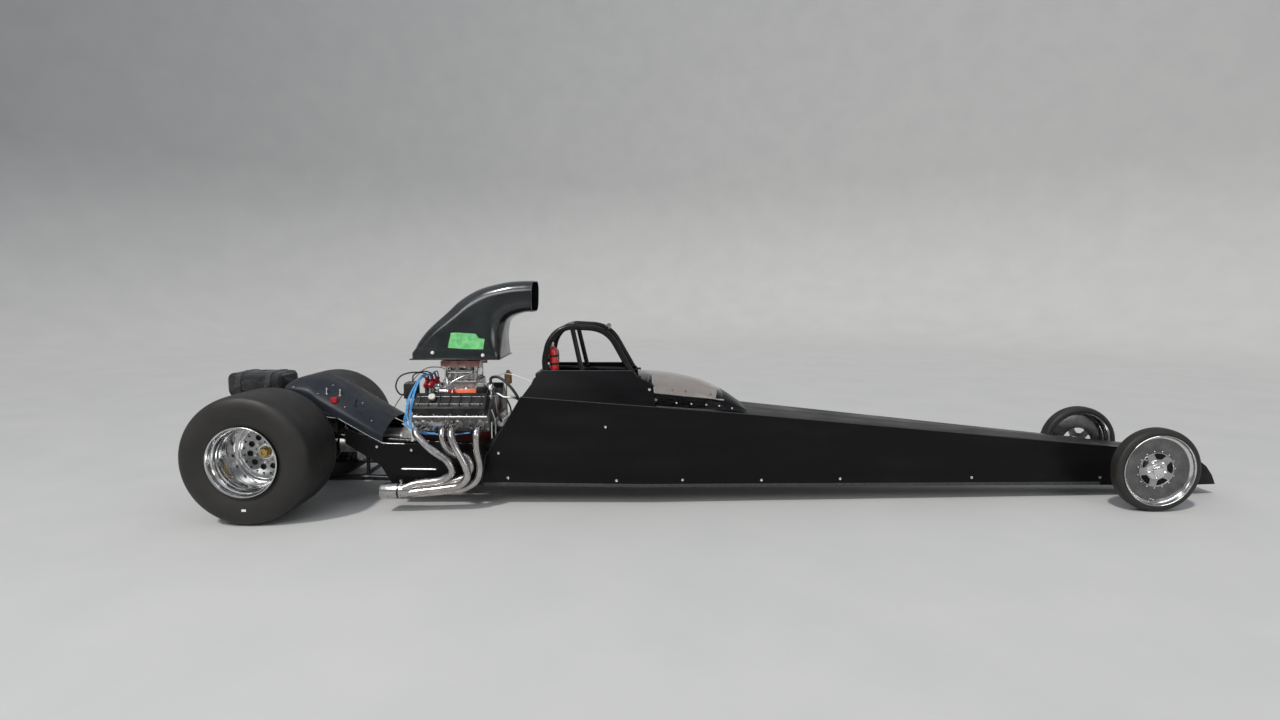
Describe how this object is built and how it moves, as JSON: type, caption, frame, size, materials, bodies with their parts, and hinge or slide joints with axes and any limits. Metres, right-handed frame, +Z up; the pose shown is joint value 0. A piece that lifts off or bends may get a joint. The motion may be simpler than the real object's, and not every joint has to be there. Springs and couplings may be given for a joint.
{
  "type": "rear-engined drag racing car",
  "caption": "Long low racing car with a tapered body, open engine and scoop behind the caged cockpit, wide rear and thin front wheels.",
  "frame": {"origin": "on the ground under the centre of the car's overall box", "axes": "+X forwards to the nose, +Y to the car's left, +Z up"},
  "size_m": [6.831, 1.387, 1.485],
  "materials": {
    "black_paint": "gloss black paint",
    "black_satin": "satin black paint",
    "frame_paint": "black powder coat",
    "gel_coat": "glossy black moulding",
    "clear_sheet": "clear sheet",
    "polished": "polished",
    "header_steel": "bright coated steel tube",
    "cast_aluminium": "as cast",
    "machined": "machined",
    "block_red": "dark red engine paint",
    "pan_black": "black",
    "rubber": "matt",
    "seat_black": "satin black",
    "pad": "black cloth",
    "red_plastic": "red",
    "red_paint": "gloss red",
    "blue_lead": "blue sleeve",
    "steel": "bare"
  },
  "bodies": {
    "chassis": {"side_panel_right": "black_paint", "side_panel_left": "black_paint", "upper_panel_right": "black_paint", "upper_panel_left": "black_paint", "hood_panel": "black_paint", "cowl_panel": "black_satin", "belly_pan": "black_paint", "nose_cone": "black_paint", "windscreen": "clear_sheet", "firewall": "black_satin", "tail_deck": "black_satin", "tail_panel_right": "black_satin", "tail_panel_left": "black_satin", "frame_side_right": "frame_paint", "frame_side_left": "frame_paint", "crossmembers": "frame_paint", "motor_plates": "machined", "roll_cage": "frame_paint", "engine_block": "block_red", "cylinder_head_right": "cast_aluminium", "cylinder_head_left": "cast_aluminium", "valve_cover_right": "pan_black", "valve_cover_left": "pan_black", "intake_manifold": "cast_aluminium", "carburettor": "machined", "scoop": "gel_coat", "scoop_tray": "gel_coat", "header_right": "header_steel", "header_left": "header_steel", "oil_pan": "pan_black", "transmission": "cast_aluminium", "front_drive": "machined", "distributor": "red_plastic", "axle_housing": "frame_paint", "brake_calipers": "machined", "front_axle": "polished", "seat": "seat_black", "head_rest": "pad", "dash_panel": "black_satin", "steering_column": "steel", "fire_bottle": "red_paint", "parachute_pack": "pad", "parachute_mount": "frame_paint"},
    "rear_axle": {"axle_shaft": "steel", "rear_wheel_right": "polished", "rear_wheel_left": "polished", "rear_tyre_right": "rubber", "rear_tyre_left": "rubber"},
    "knuckle_right": {"front_knuckle_right": "steel"},
    "knuckle_left": {"front_knuckle_left": "steel"},
    "steering_link": {"tie_rod": "steel"},
    "front_wheel_assembly_right": {"front_wheel_right": "polished", "front_tyre_right": "rubber"},
    "front_wheel_assembly_left": {"front_wheel_left": "polished", "front_tyre_left": "rubber"},
    "hand_wheel": {"steering_wheel": "pad"}
  },
  "joints": [
    {"name": "rear_axle_roll", "type": "hinge", "parent": "chassis", "child": "rear_axle", "pos_m": [-2.9855, 0, 0.402], "axis": [0, 1, 0], "continuous": true},
    {"name": "steer_right", "type": "hinge", "parent": "chassis", "child": "knuckle_right", "pos_m": [2.7295, -0.285, 0.273], "axis": [0, 0, 1], "range_deg": [-14, 14]},
    {"name": "steer_left", "type": "hinge", "parent": "chassis", "child": "knuckle_left", "pos_m": [2.7295, 0.285, 0.273], "axis": [0, 0, 1], "range_deg": [-14, 14]},
    {"name": "tie_rod_slide", "type": "slide", "parent": "chassis", "child": "steering_link", "axis": [0, 1, 0], "range_m": [-0.025, 0.025]},
    {"name": "hand_wheel_turn", "type": "hinge", "parent": "chassis", "child": "hand_wheel", "pos_m": [-0.685, 0, 0.6949], "axis": [-0.9806, 0, 0.1961], "range_deg": [-90, 90]},
    {"name": "front_wheel_roll_right", "type": "hinge", "parent": "knuckle_right", "child": "front_wheel_assembly_right", "pos_m": [2.7295, -0.381, 0.273], "axis": [0, 1, 0], "continuous": true},
    {"name": "front_wheel_roll_left", "type": "hinge", "parent": "knuckle_left", "child": "front_wheel_assembly_left", "pos_m": [2.7295, 0.381, 0.273], "axis": [0, 1, 0], "continuous": true}
  ],
  "couplings": [
    {"joint": "steer_left", "follows": "steer_right", "ratio": 1},
    {"joint": "tie_rod_slide", "follows": "steer_right", "m_per_rad": 0.1},
    {"joint": "hand_wheel_turn", "follows": "steer_right", "ratio": 6}
  ]
}
